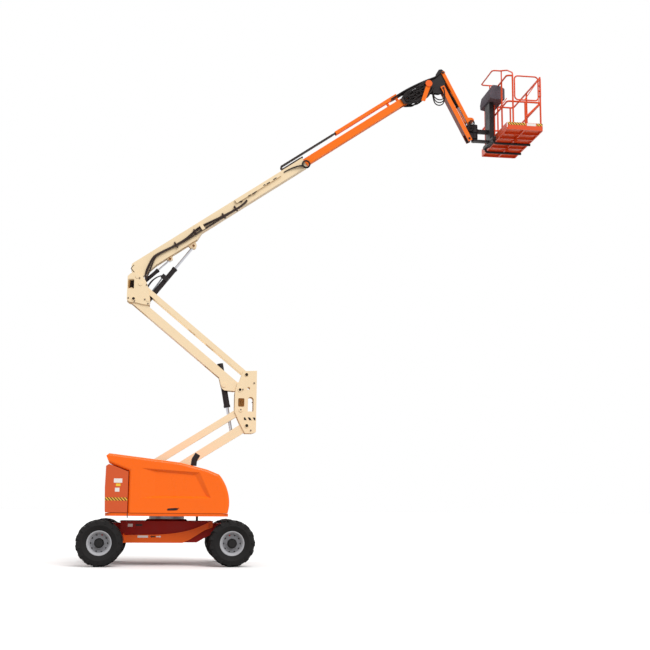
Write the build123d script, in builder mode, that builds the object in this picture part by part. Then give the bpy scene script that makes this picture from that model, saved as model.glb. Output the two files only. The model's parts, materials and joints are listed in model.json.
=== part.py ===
"""Articulating boom lift, raised: wheeled chassis, slewing turntable, folding tower,
telescopic main boom, jib and platform.

Millimetres.  X runs along the chassis towards the steered axle and the boom's reach,
Y across the machine, Z up.  The origin is on the ground under the slew axis.
"""

from build123d import *
from math import atan2, cos, degrees, hypot, radians, sin
import os

os.makedirs("parts", exist_ok=True)

# ---------------------------------------------------------------- driving dimensions
WHEELBASE = 2370
TYRE_R = 420
TYRE_W = 310
TRACK = 2317 - TYRE_W          # between the tyres' middles
RIM_R = 222
KINGPIN_Y = 815

DECK_Z = 806                   # top of the chassis frame
FRAME_X = 800                  # half length of the frame's side rails
WEB_Y = 560                    # outer face of the frame's side webs
RAIL_Y = 620                   # outer face of the side rails
EYE_R = 22                     # hole of a tie-down eye
TURNTABLE_Z = 900              # underside of the turntable
BODY_X = 1120                  # half length of the turntable and hoods
BODY_Y = 1120                  # half width of the turntable and hoods
SLOT_Y = 250                   # half width of the slot that the tower folds into

BOOM_Y = 115                   # half width of the tower's members
PLATE = 18                     # thickness of the uprights' side plates
UPRIGHT_Y = 122                # inner face of those plates
PIN_R = 30
LINK_PIN_R = 24
RUN = 0.3                      # running clearance round a pin

LOWER_ANGLE = 32.5             # slope of the lower tower
LOWER_LENGTH = 2760
UPPER_ANGLE = 39.4             # slope of the upper tower
UPPER_LENGTH = 2720
LOWER_BASE = (-848, 1144)      # foot pin of the lower boom
LINK_RISE = 297                # height of a link's pin over its boom's pin
LINK_SET = 122                 # sideways set of the same
KNEE_STEP = (-144, 695)        # from the lower boom's pin to the upper boom's pin

BOOM_ANGLE = 35.0
BOOM_PIVOT = (-707, 5497)
BOOM_W = 220
BOOM_H = 200
FLY_W = 165
FLY_H = 145
WALL = 8

JIB_ANGLE = -62.75
JIB_LENGTH = 1200
JIB_PIN = (5463, 10103)        # upper jib pin on the levelling head
JIB_STEP = 340                 # the lower jib pin is this far below

ROTATOR_X = 6140
PLATFORM_X = 6941              # middle of the platform
PLATFORM_L = 1830
PLATFORM_W = 760
FLOOR_Z = 8649
RAIL_H = 1168
RAIL_TUBE = 19


# ---------------------------------------------------------------- small helpers
def along(start, angle, distance, rise=0):
    """A point (x, z) that lies a distance along a sloped line and a rise square to it."""
    a = radians(angle)
    return (start[0] + distance * cos(a) - rise * sin(a), start[1] + distance * sin(a) + rise * cos(a))


def side_plane(pin, angle=0, y=0):
    """A vertical plane seen from the near side, its x axis sloped along a member."""
    a = radians(angle)
    return Plane(origin=(pin[0], y, pin[1]), x_dir=(cos(a), 0, sin(a)), z_dir=(0, -1, 0))


def save(part, node):
    part.label = node
    export_step(part, f"parts/{node}.step")


def slab(plane, outline, inner, thickness, holes=()):
    """A pair of flat plates, one each side of the middle, with round holes (x, y, radius)."""
    with BuildPart() as plates:
        for side in (1, -1):
            with BuildSketch(plane.offset(side * (inner + thickness / 2))):
                with BuildLine():
                    Polyline(*outline, close=True)
                make_face()
                for x, y, radius in holes:
                    with Locations((x, y)):
                        Circle(radius, mode=Mode.SUBTRACT)
            extrude(amount=thickness / 2, both=True)
    return plates.part


def cross_pin(plane, at, radius, half, head=0, head_t=8):
    """A round pin square to the side plane, with flat heads at both ends."""
    with BuildPart() as pin:
        with BuildSketch(plane):
            with Locations(at):
                Circle(radius)
        extrude(amount=half, both=True)
        if head:
            for side in (1, -1):
                with BuildSketch(plane.offset(side * (half - head_t / 2))):
                    with Locations(at):
                        Circle(head)
                extrude(amount=head_t / 2, both=True)
    return pin.part


def tube(points, radius, bend, sides=10):
    """A tube along straight runs joined by bends, round where no sides are given."""
    with BuildPart() as pipe:
        with BuildLine() as path:
            if len(points) > 2:
                FilletPolyline(*points, radius=bend)
            else:
                Line(*points)
        start = path.line @ 0
        heading = path.line % 0
        with BuildSketch(Plane(origin=start, z_dir=heading)):
            if sides:
                RegularPolygon(radius, sides)
            else:
                Circle(radius)
        sweep(path=path.line)
    return pipe.part


def cylinder_pair(foot, eye, barrel_length, barrel_r, rod_r, rod_start, eye_r, eye_w, foot_w, tail=0):
    """A hydraulic cylinder from its foot pin to its rod's eye: the barrel and the rod.

    With a tail the barrel runs back past a trunnion instead of ending in a foot eye.
    """
    dx, dz = eye[0] - foot[0], eye[1] - foot[1]
    reach = hypot(dx, dz)
    plane = side_plane(foot, degrees(atan2(dz, dx)))
    axis = Plane(origin=plane.origin, x_dir=(0, 1, 0), z_dir=plane.x_dir)
    back = -tail if tail else 20
    with BuildPart() as barrel:
        with BuildSketch(axis.offset(back)):
            Circle(barrel_r)
        extrude(amount=barrel_length - back)
        with BuildSketch(axis.offset(barrel_length - 45)):
            Circle(barrel_r + 6)
        extrude(amount=45)
        with BuildSketch(plane):
            Circle(barrel_r * 0.6 if tail else eye_r)
        extrude(amount=foot_w / 2, both=True)
        if not tail:
            with BuildSketch(plane):
                Circle(LINK_PIN_R + RUN)
            extrude(amount=foot_w, both=True, mode=Mode.SUBTRACT)
        with BuildSketch(axis.offset(60 if not tail else back + 25)):
            Circle(barrel_r - 8)
        extrude(amount=barrel_length - 35 - (60 if not tail else back + 25), mode=Mode.SUBTRACT)
        with BuildSketch(axis.offset(barrel_length - 50)):
            Circle(rod_r + RUN)
        extrude(amount=60, mode=Mode.SUBTRACT)
    with BuildPart() as rod:
        with BuildSketch(axis.offset(rod_start)):
            Circle(rod_r)
        extrude(amount=reach - rod_start - eye_r * 0.5)
        with BuildSketch(axis.offset(rod_start)):
            Circle(barrel_r - 9)
        extrude(amount=24)
        with BuildSketch(side_plane(eye, degrees(atan2(dz, dx)))):
            Circle(eye_r)
        extrude(amount=eye_w / 2, both=True)
    return barrel.part, rod.part


# ---------------------------------------------------------------- wheels
LUGS = 15                      # tread blocks on each shoulder
TYRE_SIDES = 45
TYRE_BANDS = [(-153, 312), (-136, 384), (0, 404), (136, 384), (153, 312)]      # height, radius
LUG_TOP = TYRE_R - 3.66         # flat tread of a block; its corners reach the tyre's radius
LUG_OUTLINE = [(350, 30), (LUG_TOP, 14), (LUG_TOP, 112), (398, 140), (350, 148), (322, 136)]


def stacked(bands, sides):
    """A solid through regular polygons at the given heights and radii."""
    with BuildPart() as stack:
        for height, radius in bands:
            with BuildSketch(Plane.XY.offset(height)):
                RegularPolygon(radius, sides)
        loft(ruled=True)
    return stack.part


def make_tyre():
    """A tyre about Z with staggered shoulder blocks."""
    carcass = stacked(TYRE_BANDS, TYRE_SIDES)
    for side in (1, -1):
        carcass -= stacked([(side * 153.5, 313), (side * 110, RIM_R + 1)], TYRE_SIDES)
    with BuildPart() as bore:
        with BuildSketch(Plane.XY):
            RegularPolygon(RIM_R + 1, TYRE_SIDES)
        extrude(amount=TYRE_W, both=True)
    carcass -= bore.part
    with BuildPart() as lug:
        with BuildSketch(Plane.XZ):
            with BuildLine():
                Polyline(*LUG_OUTLINE, close=True)
            make_face()
        extrude(amount=37, both=True)
    blocks = []
    for side, turn in ((1, 0), (-1, 180 / LUGS)):
        block = Pos(0, 0, 84) * Rot(18, 0, 0) * Pos(0, 0, -84) * lug.part
        block = block if side > 0 else mirror(block, about=Plane.XY)
        blocks += [Rot(0, 0, turn + i * 360 / LUGS) * block for i in range(LUGS)]
    return carcass + blocks


RIM_SIDES = 36


def make_rim():
    """A dished wheel about Z, its outer side towards +Z, with the hub in its middle."""
    wheel = stacked([(-112, RIM_R), (116, RIM_R)], RIM_SIDES)
    wheel -= stacked([(117, 209), (96, 186), (60, 176)], RIM_SIDES)
    wheel -= stacked([(-113, 208), (30, 196)], RIM_SIDES)
    with BuildPart() as holes:
        with BuildSketch(Plane.XY):
            with PolarLocations(150, 10):
                RegularPolygon(15, 10)
        extrude(amount=90)
    wheel -= holes.part
    with BuildPart() as hub:
        with BuildSketch(Plane.XY.offset(28)):
            Circle(112)
        extrude(amount=40)
        with BuildSketch(Plane.XY.offset(68)):
            Circle(76)
        extrude(amount=50, taper=12)
        with BuildSketch(Plane.XY.offset(68)):
            with PolarLocations(96, 8):
                RegularPolygon(12, 6)
        extrude(amount=18)
    return wheel + hub.part


tyre_shape = make_tyre()
rim_shape = make_rim()
WHEELS = {
    "front_near": (WHEELBASE / 2, -TRACK / 2, 90),
    "front_far": (WHEELBASE / 2, TRACK / 2, -90),
    "rear_near": (-WHEELBASE / 2, -TRACK / 2, 90),
    "rear_far": (-WHEELBASE / 2, TRACK / 2, -90),
}
for place, (x, y, turn) in WHEELS.items():
    at = Pos(x, y, TYRE_R) * Rot(turn, 0, 0)
    save(at * tyre_shape, f"tyre_{place}")
    save(at * rim_shape, f"rim_{place}")

# ---------------------------------------------------------------- chassis
with BuildPart() as chassis_frame:
    # hollow centre box, its side webs set back from the rails
    with BuildSketch(side_plane((0, 0))):
        with BuildLine():
            Polyline((-FRAME_X - 40, 420), (560, 420), (700, 500), (FRAME_X + 50, 576), (FRAME_X + 50, DECK_Z - 14),
                     (-FRAME_X - 40, DECK_Z - 14), close=True)
        make_face()
    extrude(amount=WEB_Y, both=True)
    with BuildSketch(side_plane((0, 0))):
        with BuildLine():
            Polyline((-FRAME_X - 28, 432), (555, 432), (690, 512), (FRAME_X + 38, 588), (FRAME_X + 38, DECK_Z - 26),
                     (-FRAME_X - 28, DECK_Z - 26), close=True)
        make_face()
    extrude(amount=WEB_Y - 12, both=True, mode=Mode.SUBTRACT)
    # top plate
    with BuildSketch(Plane.XY.offset(DECK_Z - 14)):
        Rectangle(2 * FRAME_X + 120, 2 * WEB_Y)
    extrude(amount=14)
    # end boxes over the axles
    for x in (-1100, 1100):
        with BuildSketch(Plane.XY.offset(576)):
            with Locations((x, 0)):
                Rectangle(600, 560)
        extrude(amount=190)
    # axle mounting blocks
    for x in (-WHEELBASE / 2, WHEELBASE / 2):
        with BuildSketch(Plane.XY.offset(500)):
            with Locations((x, 230), (x, -230)):
                Rectangle(150, 70)
        extrude(amount=80)
    # slew pedestal
    with BuildSketch(Plane.XY.offset(DECK_Z)):
        Circle(400)
    extrude(amount=34, taper=45)
save(chassis_frame.part, "chassis_frame")

with BuildPart() as frame_rails:
    for side in (1, -1):
        with BuildSketch(side_plane((0, 0), y=side * (WEB_Y + RAIL_Y) / 2)):
            with BuildLine():
                Line((-FRAME_X - 60, 412), (300, 412))
                Line((300, 412), (430, 470))
                Line((430, 470), (700, 640))
                Line((700, 640), (850, 700))
                Line((850, 700), (850, DECK_Z))
                Line((850, DECK_Z), (800, DECK_Z))
                Spline((800, DECK_Z), (560, 690), (248, 604), (-250, 560), (-FRAME_X - 60, 545))
                Line((-FRAME_X - 60, 545), (-FRAME_X - 60, 412))
            make_face()
        extrude(amount=(RAIL_Y - WEB_Y) / 2 - 0.2, both=True)
save(frame_rails.part, "frame_rails")

# plates with a lashing hole, welded to the rails' outer faces
EYE_Y = RAIL_Y + 42
with BuildPart() as tie_down_eyes:
    for x, height, low in ((-770, 540, 440), (770, 735, 685)):
        for side in (1, -1):
            with BuildSketch(Plane.YZ.offset(x)):
                with BuildLine():
                    Polyline((side * (RAIL_Y - 0.2), low), (side * (EYE_Y + 20), height - 40),
                             (side * (EYE_Y + 42), height - 20), (side * (EYE_Y + 42), height + 20),
                             (side * (EYE_Y + 20), height + 38), (side * (RAIL_Y - 0.2), height + 38), close=True)
                make_face()
                with Locations((side * EYE_Y, height)):
                    Circle(EYE_R, mode=Mode.SUBTRACT)
            extrude(amount=10, both=True)
save(tie_down_eyes.part, "tie_down_eyes")

AXLE_Z = TYRE_R
with BuildPart() as axle_fixed:
    with BuildSketch(Plane(origin=(-WHEELBASE / 2, 0, AXLE_Z), z_dir=(0, 1, 0))):
        Circle(75)
    extrude(amount=TRACK / 2 - 95, both=True)
    with BuildSketch(Plane(origin=(-WHEELBASE / 2, 60, AXLE_Z), z_dir=(0, 1, 0))):
        Circle(150)
    extrude(amount=90, both=True, taper=18)
    for side in (1, -1):
        with BuildSketch(Plane(origin=(-WHEELBASE / 2, side * (TRACK / 2 - 95), AXLE_Z), z_dir=(0, -side, 0))):
            Circle(118)
        extrude(amount=120)
save(axle_fixed.part, "axle_fixed")

with BuildPart() as axle_steer:
    with BuildSketch(Plane(origin=(WHEELBASE / 2, 0, AXLE_Z), z_dir=(0, 1, 0))):
        Circle(75)
    extrude(amount=KINGPIN_Y - 150, both=True)
    with BuildSketch(Plane(origin=(WHEELBASE / 2, 60, AXLE_Z), z_dir=(0, 1, 0))):
        Circle(150)
    extrude(amount=90, both=True, taper=18)
    for side in (1, -1):
        with BuildSketch(Plane.XY.offset(AXLE_Z - 120)):
            with Locations((WHEELBASE / 2, side * KINGPIN_Y)):
                Circle(48)
            with Locations((WHEELBASE / 2, side * (KINGPIN_Y - 80))):
                Rectangle(96, 160)
        extrude(amount=240)
        with BuildSketch(Plane.XY.offset(AXLE_Z - 85)):
            with Locations((WHEELBASE / 2, side * (KINGPIN_Y + 10))):
                Rectangle(240, 240)
        extrude(amount=170, mode=Mode.SUBTRACT)
save(axle_steer.part, "axle_steer")

for name, side in (("near", -1), ("far", 1)):
    with BuildPart() as knuckle:
        with BuildSketch(Plane.XY.offset(AXLE_Z - 80)):
            with Locations((WHEELBASE / 2, side * KINGPIN_Y)):
                Circle(52)
        extrude(amount=160)
        with BuildSketch(Plane(origin=(WHEELBASE / 2, side * KINGPIN_Y, AXLE_Z), z_dir=(0, side, 0))):
            Circle(72)
        extrude(amount=TRACK / 2 - 110 - KINGPIN_Y + 15)
        # steering arm
        with BuildSketch(Plane.XY.offset(AXLE_Z - 30)):
            with Locations((WHEELBASE / 2 - 90, side * (KINGPIN_Y - 22))):
                Rectangle(180, 60)
            with Locations((WHEELBASE / 2 - 180, side * (KINGPIN_Y - 22))):
                Circle(30)
        extrude(amount=26)
    save(knuckle.part, f"knuckle_{name}")

with BuildPart() as tie_rod:
    with BuildSketch(Plane(origin=(WHEELBASE / 2 - 180, 0, AXLE_Z - 50), z_dir=(0, 1, 0))):
        Circle(18)
    extrude(amount=KINGPIN_Y - 30, both=True)
    with BuildSketch(Plane(origin=(WHEELBASE / 2 - 180, 0, AXLE_Z - 50), z_dir=(0, 1, 0))):
        Circle(16)
    extrude(amount=KINGPIN_Y - 10, both=True)
save(tie_rod.part, "tie_rod")

# ---------------------------------------------------------------- turntable
with BuildPart() as slew_ring:
    with BuildSketch(Plane.XY.offset(DECK_Z + 34)):
        Circle(330)
        Circle(250, mode=Mode.SUBTRACT)
    extrude(amount=TURNTABLE_Z - DECK_Z - 39)
save(slew_ring.part, "slew_ring")

LOWER_LINK_BASE = (LOWER_BASE[0] - LINK_SET, LOWER_BASE[1] + LINK_RISE)
with BuildPart() as turntable_frame:
    with BuildSketch(Plane.XY.offset(TURNTABLE_Z)):
        RectangleRounded(2 * BODY_X - 20, 2 * BODY_Y - 20, 120)
    extrude(amount=50)
    # tower pedestal plates
    pedestal = [(-1040, TURNTABLE_Z + 50), (-480, TURNTABLE_Z + 50), (-700, 1240), (-860, 1540), (-1040, 1540)]
    for side in (1, -1):
        with BuildSketch(side_plane((0, 0), y=side * (UPRIGHT_Y + PLATE / 2))):
            with BuildLine():
                Polyline(*pedestal, close=True)
            make_face()
            with Locations(LOWER_BASE):
                Circle(PIN_R + RUN, mode=Mode.SUBTRACT)
            with Locations(LOWER_LINK_BASE):
                Circle(LINK_PIN_R + RUN, mode=Mode.SUBTRACT)
        extrude(amount=PLATE / 2, both=True)
    # walls each side of the tower slot
    wall_outline = [(-700, TURNTABLE_Z + 50), (1060, TURNTABLE_Z + 50), (1040, 1400), (880, 1600),
                    (200, 1780), (-700, 1880)]
    for side in (1, -1):
        with BuildSketch(side_plane((0, 0), y=side * (SLOT_Y + 6))):
            with BuildLine():
                Polyline(*wall_outline, close=True)
            make_face()
        extrude(amount=6, both=True)
save(turntable_frame.part, "turntable_frame")

tower_pins = [
    cross_pin(side_plane(LOWER_BASE), (0, 0), PIN_R, UPRIGHT_Y + PLATE + 8.3, 44),
    cross_pin(side_plane(LOWER_LINK_BASE), (0, 0), LINK_PIN_R, UPRIGHT_Y + PLATE + 8.3, 38),
]
with BuildPart() as tower_foot_pins:
    add(tower_pins)
save(tower_foot_pins.part, "tower_foot_pins")

with BuildPart() as counterweight:
    with BuildSketch(Plane.XZ.offset(-BODY_Y)):
        with BuildLine():
            Polyline((-1105, TURNTABLE_Z + 60), (-710, TURNTABLE_Z + 60), (-710, 1690), (-1060, 1825),
                     (-1112, 1790), (-BODY_X, 1400), close=True)
        make_face()
    extrude(amount=2 * BODY_Y)
    with BuildSketch(Plane.XZ.offset(-SLOT_Y + 5)):
        with BuildLine():
            Polyline((-1070, TURNTABLE_Z), (-600, TURNTABLE_Z), (-600, 2000), (-1070, 2000), close=True)
        make_face()
    extrude(amount=2 * (SLOT_Y - 5), mode=Mode.SUBTRACT)
    with BuildSketch(Plane.XZ.offset(-SLOT_Y + 5)):
        with BuildLine():
            Polyline((-1200, 1560), (-600, 1560), (-600, 2000), (-1200, 2000), close=True)
        make_face()
    extrude(amount=2 * (SLOT_Y - 5), mode=Mode.SUBTRACT)
save(counterweight.part, "counterweight")

HOOD_BASE_Z = 956
HOOD_SKIN = 12
HOOD_IN = SLOT_Y + 12


def hood_profile(inset):
    """The hood's side view, inset from its outer skin but open below."""
    low = HOOD_BASE_Z - (40 if inset else 0)
    side = [(-702 + inset, low), (1092 - inset, low), (BODY_X - inset, 1100)]
    top = [(925 - 0.7 * inset, 1658 - 0.7 * inset), (700, 1747 - inset), (206, 1868 - inset),
           (-1063 + inset, 2019 - inset), (-1115 + 1.6 * inset, 1973), (-1060 + inset, 1842 + inset),
           (-702 + inset, 1702 + inset), (-702 + inset, low)]
    with BuildSketch() as profile:
        with BuildLine():
            Polyline(*side)
            ThreePointArc(side[-1], (1075 - inset, 1400), top[0])
            Polyline(*top)
        make_face()
    return profile.sketch


HOOD_HINGE = (-1063, 2006)      # on the hinge line, and its slope
HOOD_SLOPE = degrees(atan2(1868 - 2019, 206 + 1063))
RECESS_OUT = [(-480, 1758), (572, 1690), (785, 1222), (-480, 1222)]
RECESS_IN = [(-230, 1700), (486, 1640), (700, 1262), (-230, 1262)]
RECESS_DEPTH = 42
for name, side in (("near", -1), ("far", 1)):
    with BuildPart() as hood:
        with BuildSketch(Plane.XZ.offset(-side * HOOD_IN)):
            add(hood_profile(0))
        extrude(amount=-side * (BODY_Y - HOOD_IN))
        outer = [e for e in hood.edges() if abs(e.center().Y) > BODY_Y - 1 and e.center().Z > 1080]
        fillet([e for e in outer if e.center().X > -900], 55)
        with BuildSketch(Plane.XZ.offset(-side * (HOOD_IN - 60))):
            add(hood_profile(HOOD_SKIN))
        extrude(amount=-side * (BODY_Y - HOOD_IN), mode=Mode.SUBTRACT)
        # recessed panel in the outer face
        with BuildSketch(Plane.XZ.offset(-side * BODY_Y)):
            with BuildLine():
                Polyline(*RECESS_OUT, close=True)
            make_face()
        with BuildSketch(Plane.XZ.offset(-side * (BODY_Y - RECESS_DEPTH))):
            with BuildLine():
                Polyline(*RECESS_IN, close=True)
            make_face()
        loft(mode=Mode.SUBTRACT)
        # latch pocket
        with BuildSketch(Plane.XZ.offset(-side * BODY_Y)):
            with Locations((96, 1022)):
                SlotOverall(196, 46, rotation=4)
        extrude(amount=side * 20, mode=Mode.SUBTRACT)
        # hinge knuckles under the roof's inner edge
        for d in (160, 1080):
            x, z = along(HOOD_HINGE, HOOD_SLOPE, d)
            at = Plane(origin=(x, side * (HOOD_IN + 12), z), z_dir=(cos(radians(HOOD_SLOPE)), 0, sin(radians(HOOD_SLOPE))))
            with BuildSketch(at):
                Circle(12)
            extrude(amount=60, both=True)
    save(hood.part, f"hood_{name}")

with BuildPart() as engine_block:
    with BuildSketch(Plane.XY.offset(TURNTABLE_Z + 50)):
        with Locations((150, -640)):
            RectangleRounded(900, 560, 40)
    extrude(amount=560)
    with BuildSketch(Plane.XY.offset(TURNTABLE_Z + 600)):
        with Locations((452, -800)):
            Circle(40)
    extrude(amount=250)
save(engine_block.part, "engine_block")

EXHAUST_Y = -800
save(tube([(462, EXHAUST_Y, 1822), (472, EXHAUST_Y, 1930), (534, EXHAUST_Y, 2034)], 54, 110, sides=24), "exhaust_pipe")

# ---------------------------------------------------------------- tower
lower_plane = side_plane(LOWER_BASE, LOWER_ANGLE)
lower_link_plane = side_plane(LOWER_LINK_BASE, LOWER_ANGLE)
KNEE = along(LOWER_BASE, LOWER_ANGLE, LOWER_LENGTH)
KNEE_LINK = (KNEE[0] - LINK_SET, KNEE[1] + LINK_RISE)
UPPER_BASE = (KNEE[0] + KNEE_STEP[0], KNEE[1] + KNEE_STEP[1])
UPPER_LINK_BASE = (UPPER_BASE[0] + LINK_SET, UPPER_BASE[1] + LINK_RISE)
UPPER_TOP = along(UPPER_BASE, 180 - UPPER_ANGLE, UPPER_LENGTH)
UPPER_LINK_TOP = (UPPER_TOP[0] + LINK_SET, UPPER_TOP[1] + LINK_RISE)
upper_plane = side_plane(UPPER_TOP, -UPPER_ANGLE)
upper_link_plane = side_plane(UPPER_LINK_TOP, -UPPER_ANGLE)

TOWER_ROD_PIN = (LOWER_LENGTH - 313, 49)     # along and over the lower boom
TOWER_CYL_PIN = (UPPER_LENGTH - 294, -134)   # along and under the upper boom

with BuildPart() as lower_boom:
    with BuildSketch(lower_plane):
        with BuildLine():
            Polyline((0, -70), (LOWER_LENGTH, -88), (LOWER_LENGTH, 88), (0, 70), close=True)
        make_face()
        Circle(70)
        with Locations((LOWER_LENGTH, 0)):
            Circle(88)
    extrude(amount=BOOM_Y, both=True)
    with BuildSketch(lower_plane):
        with BuildLine():
            Polyline((90, -61), (LOWER_LENGTH - 105, -77), (LOWER_LENGTH - 105, 77), (90, 61), close=True)
        make_face()
    extrude(amount=BOOM_Y - 10, both=True, mode=Mode.SUBTRACT)
    # slot for the tower cylinder's rod
    with BuildSketch(lower_plane):
        with Locations((TOWER_ROD_PIN[0] - 20, 80)):
            Rectangle(330, 60)
    extrude(amount=60, both=True, mode=Mode.SUBTRACT)
    with BuildSketch(lower_plane):
        with Locations((0, 0), (LOWER_LENGTH, 0)):
            Circle(PIN_R + RUN)
    extrude(amount=BOOM_Y, both=True, mode=Mode.SUBTRACT)
save(lower_boom.part, "lower_boom")


def twin_bar(plane, length, half_depth, cross):
    """A link of two side bars joined by cross plates."""
    with BuildPart() as link:
        for side in (1, -1):
            with BuildSketch(plane.offset(side * (BOOM_Y - 12.5))):
                with Locations((length / 2, 0)):
                    Rectangle(length, 2 * half_depth)
                with Locations((0, 0), (length, 0)):
                    Circle(half_depth)
                with Locations((0, 0), (length, 0)):
                    Circle(LINK_PIN_R + RUN, mode=Mode.SUBTRACT)
            extrude(amount=12.5, both=True)
        with BuildSketch(plane):
            with Locations(*[(x, 0) for x in cross]):
                Rectangle(160, 1.6 * half_depth)
                Rectangle(136, 1.6 * half_depth - 24, mode=Mode.SUBTRACT)
        extrude(amount=BOOM_Y - 20, both=True)
    return link.part


save(twin_bar(lower_link_plane, LOWER_LENGTH, 64, (700, 1900)), "lower_link")
save(twin_bar(upper_link_plane, UPPER_LENGTH, 50, (1350, 1800)), "upper_link")

with BuildPart() as upper_boom:
    with BuildSketch(upper_plane):
        with BuildLine():
            Polyline((0, -80), (UPPER_LENGTH - 464, -80), (UPPER_LENGTH - 326, -183), (UPPER_LENGTH - 285, -205),
                     (UPPER_LENGTH - 225, -205), (UPPER_LENGTH - 79, -99), (UPPER_LENGTH - 60, -80),
                     (UPPER_LENGTH, -80), (UPPER_LENGTH, 80), (0, 80), close=True)
        make_face()
        with Locations((0, 0), (UPPER_LENGTH, 0)):
            Circle(80)
    extrude(amount=BOOM_Y, both=True)
    # inside, open towards the cylinders at both ends
    with BuildSketch(upper_plane):
        with BuildLine():
            Polyline((-120, -71), (UPPER_LENGTH - 90, -71), (UPPER_LENGTH - 90, 71), (-120, 71), close=True)
        make_face()
    extrude(amount=BOOM_Y - 12, both=True, mode=Mode.SUBTRACT)
    with BuildSketch(upper_plane):
        with Locations((140, 60)):
            Rectangle(1200, 200)
        with Locations((0, -60)):
            Rectangle(840, 200)
        with Locations((UPPER_LENGTH - 345, -150)):
            Rectangle(970, 260)
        with Locations((UPPER_LENGTH - 480, 80)):
            Rectangle(520, 60)
    extrude(amount=75, both=True, mode=Mode.SUBTRACT)
    with BuildSketch(upper_plane):
        with Locations((0, 0), (UPPER_LENGTH, 0)):
            Circle(PIN_R + RUN)
    extrude(amount=BOOM_Y, both=True, mode=Mode.SUBTRACT)
    for side in (1, -1):
        with BuildSketch(upper_plane.offset(side * (BOOM_Y + 5))):
            with Locations(TOWER_CYL_PIN):
                Circle(42)
        extrude(amount=6, both=True)
save(upper_boom.part, "upper_boom")

KNEE_OUTLINE = [(-157, 865), (-87, 1060), (180, 1073), (180, -122), (100, -147), (-34, -147), (-140, 50),
                (-241, 269), (-241, 626), (-201, 819)]
knee_plane = side_plane(KNEE)
knee_plates = slab(knee_plane, KNEE_OUTLINE, UPRIGHT_Y, PLATE, holes=[(24, 725, 28)])
with BuildPart() as knee_openings:
    with BuildSketch(knee_plane):
        with Locations((69, 390)):
            Rectangle(108, 228)
        with Locations((69, 504)):
            Circle(54)
        with Locations((-115, 448)):
            RectangleRounded(120, 165, 20)
    extrude(amount=200, both=True)
knee_pins = [cross_pin(knee_plane, at, r, UPRIGHT_Y + PLATE + 10, r + 12) for at, r in (
    ((0, 0), PIN_R), ((-LINK_SET, LINK_RISE), LINK_PIN_R), (KNEE_STEP, PIN_R),
    ((KNEE_STEP[0] + LINK_SET, KNEE_STEP[1] + LINK_RISE), LINK_PIN_R))]
with BuildPart() as mid_upright:
    add(knee_plates - knee_openings.part)
    add(knee_pins)
    with BuildSketch(knee_plane):
        with Locations((171, 480)):
            Rectangle(18, 1120)
    extrude(amount=UPRIGHT_Y, both=True)
save(mid_upright.part, "mid_upright")

top_plane = side_plane(UPPER_TOP)
BOOM_PIN_AT = (BOOM_PIVOT[0] - UPPER_TOP[0], BOOM_PIVOT[1] - UPPER_TOP[1])
LIFT_FOOT = (-492, 5036)
LIFT_FOOT_AT = (LIFT_FOOT[0] - UPPER_TOP[0], LIFT_FOOT[1] - UPPER_TOP[1])
TOP_OUTLINE = [(-128, 443), (-60, 510), (20, 525), (95, 510), (160, 460), (254, 307), (313, 40),
               (316, -116), (180, -105), (60, -75), (-75, -62), (-128, -20)]
top_plates = slab(top_plane, TOP_OUTLINE, UPRIGHT_Y, PLATE)
with BuildPart() as top_window:
    with BuildSketch(top_plane):
        with Locations((-56, 294)):
            RectangleRounded(114, 189, 12)
    extrude(amount=200, both=True)
top_pins = [cross_pin(top_plane, at, r, UPRIGHT_Y + PLATE + 10, r + 12) for at, r in (
    ((0, 0), PIN_R), ((LINK_SET, LINK_RISE), LINK_PIN_R), (BOOM_PIN_AT, PIN_R))]
# the lift cylinder's foot sits between lugs that stand inside the boom's cheeks
FOOT_LUG = [(-112, 60), (-112, 210), (-40, 240), (90, 120), (250, 46), (322, 34), (322, -52), (250, -60), (60, -48)]
foot_lugs = slab(top_plane, FOOT_LUG, 50, 12)
with BuildPart() as top_upright:
    add(top_plates - top_window.part)
    add(top_pins)
    add(foot_lugs)
    with BuildSketch(top_plane):
        with Locations(LIFT_FOOT_AT):
            Circle(LINK_PIN_R)
    extrude(amount=66, both=True)
    # rear wall that carries the lugs
    with BuildSketch(top_plane):
        with Locations((-119, 150)):
            Rectangle(18, 200)
    extrude(amount=UPRIGHT_Y, both=True)
    # caps over the lugs on the outer plates
    for side in (1, -1):
        with BuildSketch(top_plane.offset(side * (UPRIGHT_Y + PLATE + 2))):
            with Locations(LIFT_FOOT_AT):
                RegularPolygon(34, 16)
        extrude(amount=6, both=True)
save(top_upright.part, "top_upright")

# ---------------------------------------------------------------- cylinders of the tower
tower_foot = along(UPPER_TOP, -UPPER_ANGLE, *TOWER_CYL_PIN)
tower_eye = along(LOWER_BASE, LOWER_ANGLE, *TOWER_ROD_PIN)
barrel, rod = cylinder_pair(tower_foot, tower_eye, 430, 58, 30, -10, 40, 68, 146, tail=440)
save(barrel, "tower_cylinder_barrel")
save(rod, "tower_cylinder_rod")

# ---------------------------------------------------------------- main boom
boom_plane = side_plane(BOOM_PIVOT, BOOM_ANGLE)
BOOM_LENGTH = 4100
BOOM_TOP = 270
BOOM_BASE = BOOM_TOP - BOOM_H
FLY_MID = 170
FLY_END = 6700
LIFT_EYE_AT = (1260, -72)
MASTER_EYE_AT = (735, -45)
HEAD_AT = (7270, 187)
LEVEL_FOOT_AT = (6560, 140)
LEVEL_EYE_AT = (7270, 62)
HEAD_PIVOT = along(BOOM_PIVOT, BOOM_ANGLE, *HEAD_AT)

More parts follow.
